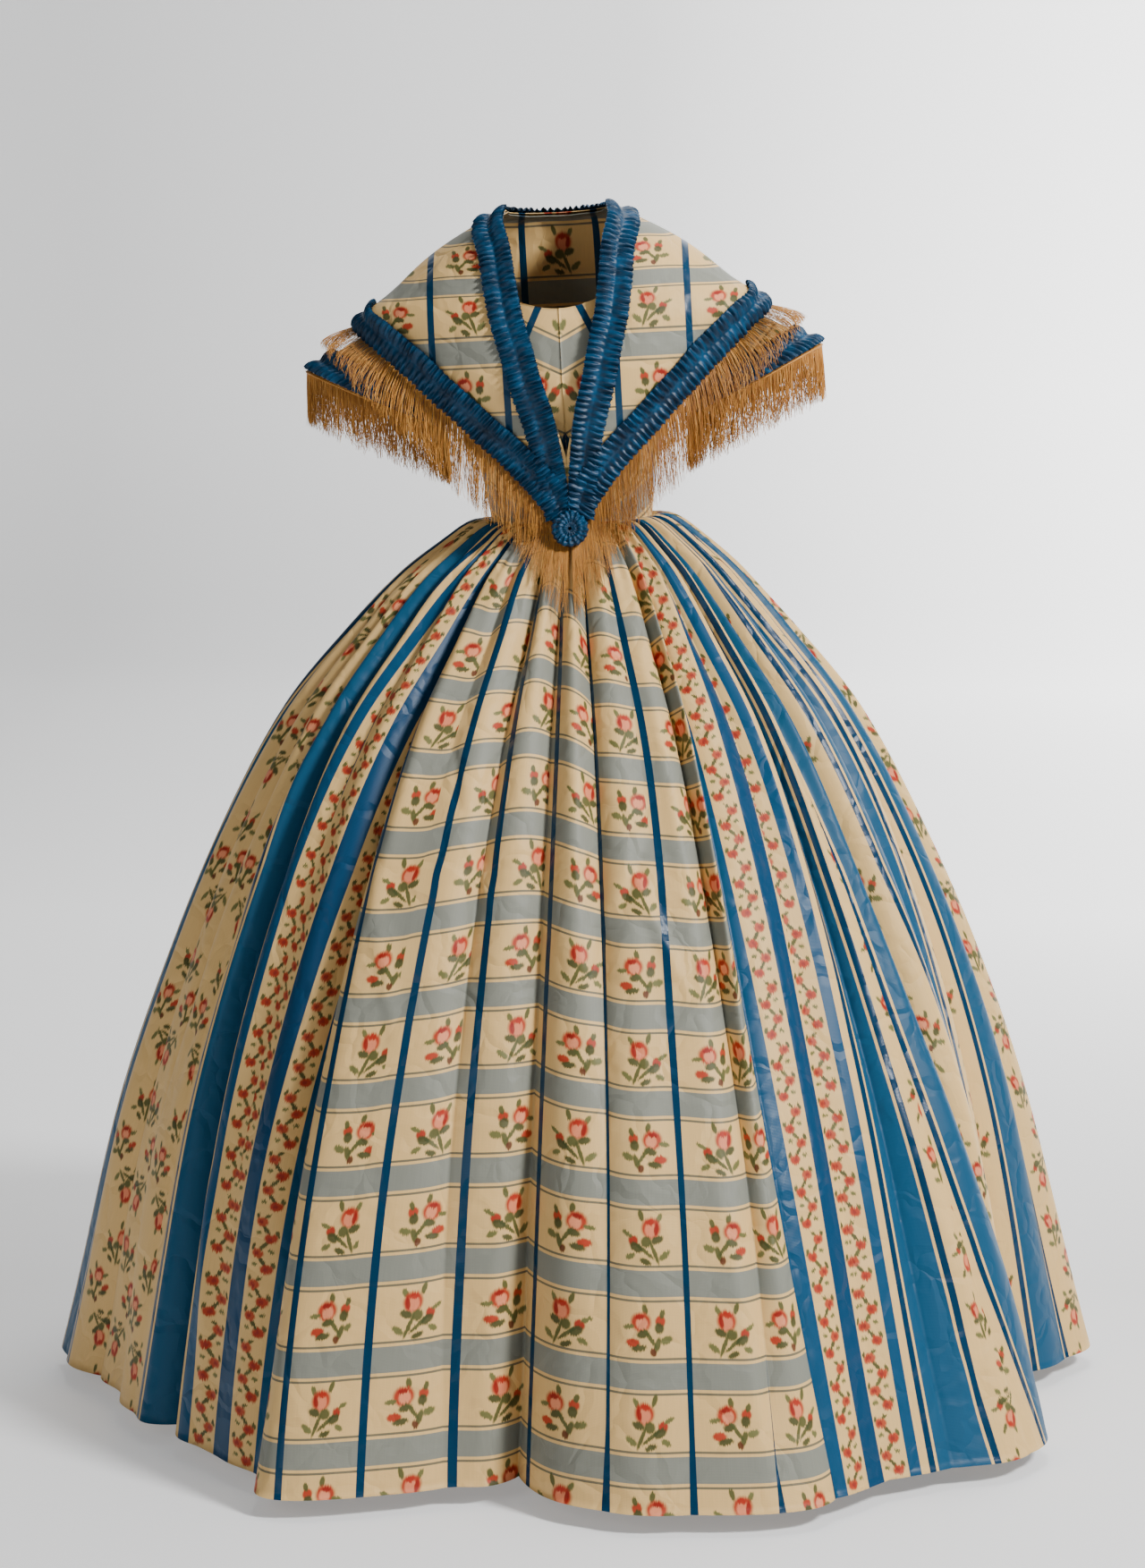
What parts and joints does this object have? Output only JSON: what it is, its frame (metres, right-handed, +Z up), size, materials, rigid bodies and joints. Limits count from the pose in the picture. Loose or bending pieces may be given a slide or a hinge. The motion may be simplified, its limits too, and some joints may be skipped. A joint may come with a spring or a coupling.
{
  "type": "evening gown",
  "caption": "Full-skirted evening gown of about 1850 in printed silk, held hollow as worn: V-shaped bertha with ruched ribbon and fringe, short bell sleeves, pleated bell skirt.",
  "frame": {"origin": "centre of the waist, where the wearer holds the gown", "axes": "+Z up, the front faces -Y, +X is the wearer's left"},
  "size_m": [1.352, 1.3774, 1.5014],
  "materials": {
    "printed_silk": "warp-printed cream silk taffeta with grey cross bands, blue satin stripes and rose sprigs, soft sheen",
    "striped_silk": "the same silk cut along its border: blue and cream lengthwise stripes with rose garlands",
    "ribbon": "teal-blue silk satin ribbon, box-pleated and stitched down its middle",
    "fringe": "ochre-gold floss silk fringe"
  },
  "bodies": {
    "root": {"skirt_front": "printed_silk", "skirt_side_left": "striped_silk", "skirt_side_right": "striped_silk", "skirt_back_left": "striped_silk", "skirt_back_right": "striped_silk", "waistband": "printed_silk", "bodice_front_left": "printed_silk", "bodice_front_right": "printed_silk", "bodice_back": "printed_silk", "sleeve_left": "printed_silk", "sleeve_right": "printed_silk", "bertha_front_left": "printed_silk", "bertha_front_right": "printed_silk", "bertha_back": "printed_silk", "ruche_neck_left": "ribbon", "ruche_neck_right": "ribbon", "ruche_neck_back": "ribbon", "ruche_edge_left": "ribbon", "ruche_edge_right": "ribbon", "ruche_edge_back": "ribbon", "ruche_sleeve_left": "ribbon", "ruche_sleeve_right": "ribbon", "rosette": "ribbon", "fringe_front_left": "fringe", "fringe_front_right": "fringe", "fringe_back": "fringe", "fringe_sleeve_left": "fringe", "fringe_sleeve_right": "fringe"}
  },
  "joints": []
}
